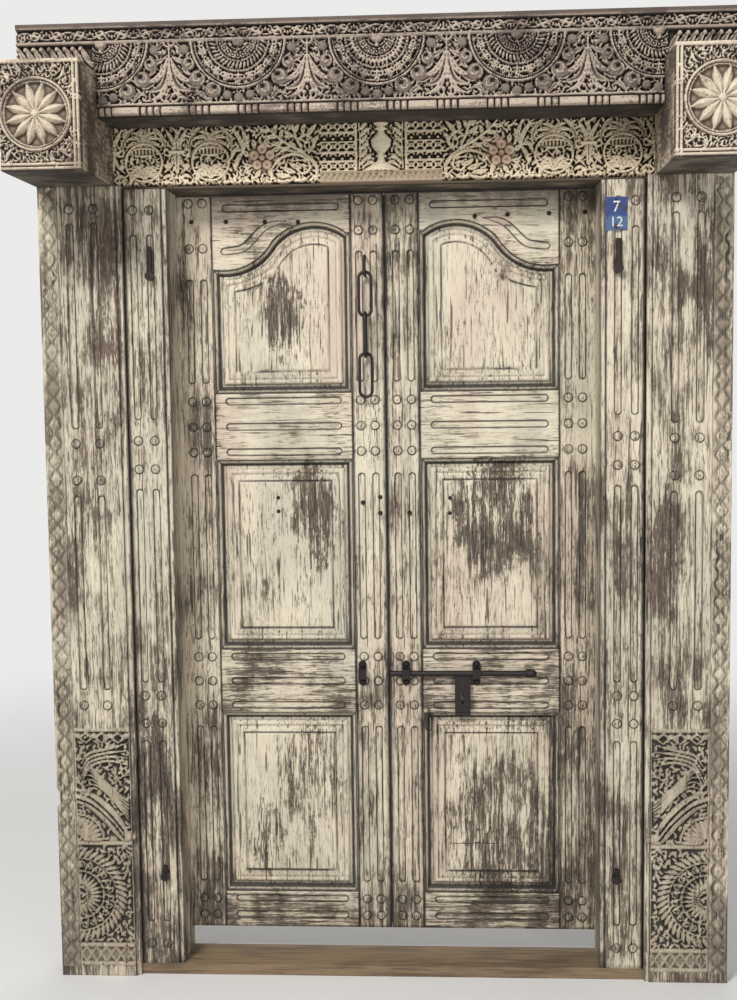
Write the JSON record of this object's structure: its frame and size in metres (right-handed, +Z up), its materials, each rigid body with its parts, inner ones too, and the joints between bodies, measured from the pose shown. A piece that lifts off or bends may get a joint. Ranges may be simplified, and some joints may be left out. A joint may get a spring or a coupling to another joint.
{
  "type": "door",
  "caption": "Antique carved wooden double door with its frame, worn cream paint, hanging chain and sliding bolt",
  "frame": {"origin": "on the floor, under the middle of the sill", "axes": "X to the right seen from the front, Y away from the viewer into the house, Z up"},
  "size_m": [1.722, 0.504, 2.399],
  "materials": {
    "painted_wood": "old cream paint worn through to grey-brown wood",
    "carved_wood": "dark weathered wood with traces of cream paint on the high places",
    "bare_wood": "bare wood worn by feet",
    "black_iron": "old black iron with light rust",
    "rusty_iron": "rusted iron",
    "enamel": "chipped blue enamel with a white rim"
  },
  "bodies": {
    "frame": {"sill": "bare_wood", "lintel": "carved_wood", "cornice": "carved_wood", "jamb_left": "painted_wood", "jamb_right": "painted_wood", "pilaster_left": "painted_wood", "pilaster_right": "painted_wood", "corner_block_left": "carved_wood", "corner_block_right": "carved_wood", "socket_left": "painted_wood", "socket_right": "painted_wood", "pintle_left_upper": "rusty_iron", "pintle_left_lower": "rusty_iron", "pintle_right_upper": "rusty_iron", "pintle_right_lower": "rusty_iron", "number_plate_nails": "rusty_iron", "number_plate": "enamel"},
    "leaf_left": {"hinge_stile_left": "painted_wood", "meeting_stile_left": "painted_wood", "top_rail_left": "painted_wood", "upper_lock_rail_left": "painted_wood", "lower_lock_rail_left": "painted_wood", "bottom_rail_left": "painted_wood", "upper_panel_left": "painted_wood", "middle_panel_left": "painted_wood", "lower_panel_left": "painted_wood", "middle_batten_left": "painted_wood", "top_batten_left": "painted_wood", "top_pivot_left": "rusty_iron", "bottom_pivot_left": "rusty_iron", "nails_left": "rusty_iron", "chain_staple": "black_iron", "keeper": "black_iron", "keeper_bolts": "black_iron"},
    "leaf_right": {"hinge_stile_right": "painted_wood", "meeting_stile_right": "painted_wood", "top_rail_right": "painted_wood", "upper_lock_rail_right": "painted_wood", "lower_lock_rail_right": "painted_wood", "bottom_rail_right": "painted_wood", "upper_panel_right": "painted_wood", "middle_panel_right": "painted_wood", "lower_panel_right": "painted_wood", "middle_batten_right": "painted_wood", "top_batten_right": "painted_wood", "top_pivot_right": "rusty_iron", "bottom_pivot_right": "rusty_iron", "nails_right": "rusty_iron", "guide_inner": "black_iron", "guide_outer": "black_iron", "guide_bolts": "black_iron", "drop_link_eye": "black_iron"},
    "link_1": {"chain_link_1": "black_iron"},
    "link_2": {"chain_link_2": "black_iron"},
    "link_3": {"chain_link_3": "black_iron"},
    "bolt_slider": {"bolt_knob": "black_iron"},
    "bolt_bar": {"bolt_rod": "black_iron", "bolt_hasp": "black_iron"},
    "drop_link": {"drop_link": "black_iron"}
  },
  "joints": [
    {"name": "leaf_left_hinge", "type": "hinge", "parent": "frame", "child": "leaf_left", "pos_m": [-0.565, 0.088, 1], "axis": [0, 0, 1], "range_deg": [0, 95]},
    {"name": "leaf_right_hinge", "type": "hinge", "parent": "frame", "child": "leaf_right", "pos_m": [0.565, 0.088, 1], "axis": [0, 0, -1], "range_deg": [0, 95]},
    {"name": "link_1_swing", "type": "hinge", "parent": "leaf_left", "child": "link_1", "pos_m": [-0.05, 0.042, 1.8137], "axis": [0, 1, 0], "range_deg": [-35, 35]},
    {"name": "link_2_swing", "type": "hinge", "parent": "link_1", "child": "link_2", "pos_m": [-0.05, 0.042, 1.71], "axis": [-1, 0, 0], "range_deg": [0, 60]},
    {"name": "link_3_swing", "type": "hinge", "parent": "link_2", "child": "link_3", "pos_m": [-0.05, 0.042, 1.6063], "axis": [0, 1, 0], "range_deg": [-35, 35]},
    {"name": "bolt_slide", "type": "slide", "parent": "leaf_right", "child": "bolt_slider", "axis": [1, 0, 0], "range_m": [-0.115, 0]},
    {"name": "bolt_turn", "type": "hinge", "parent": "bolt_slider", "child": "bolt_bar", "pos_m": [0.2, 0.054, 0.774], "axis": [-1, 0, 0], "range_deg": [0, 150]},
    {"name": "drop_link_swing", "type": "hinge", "parent": "leaf_right", "child": "drop_link", "pos_m": [0.104, 0.0626, 0.661], "axis": [0, 1, 0], "range_deg": [-30, 30]}
  ]
}
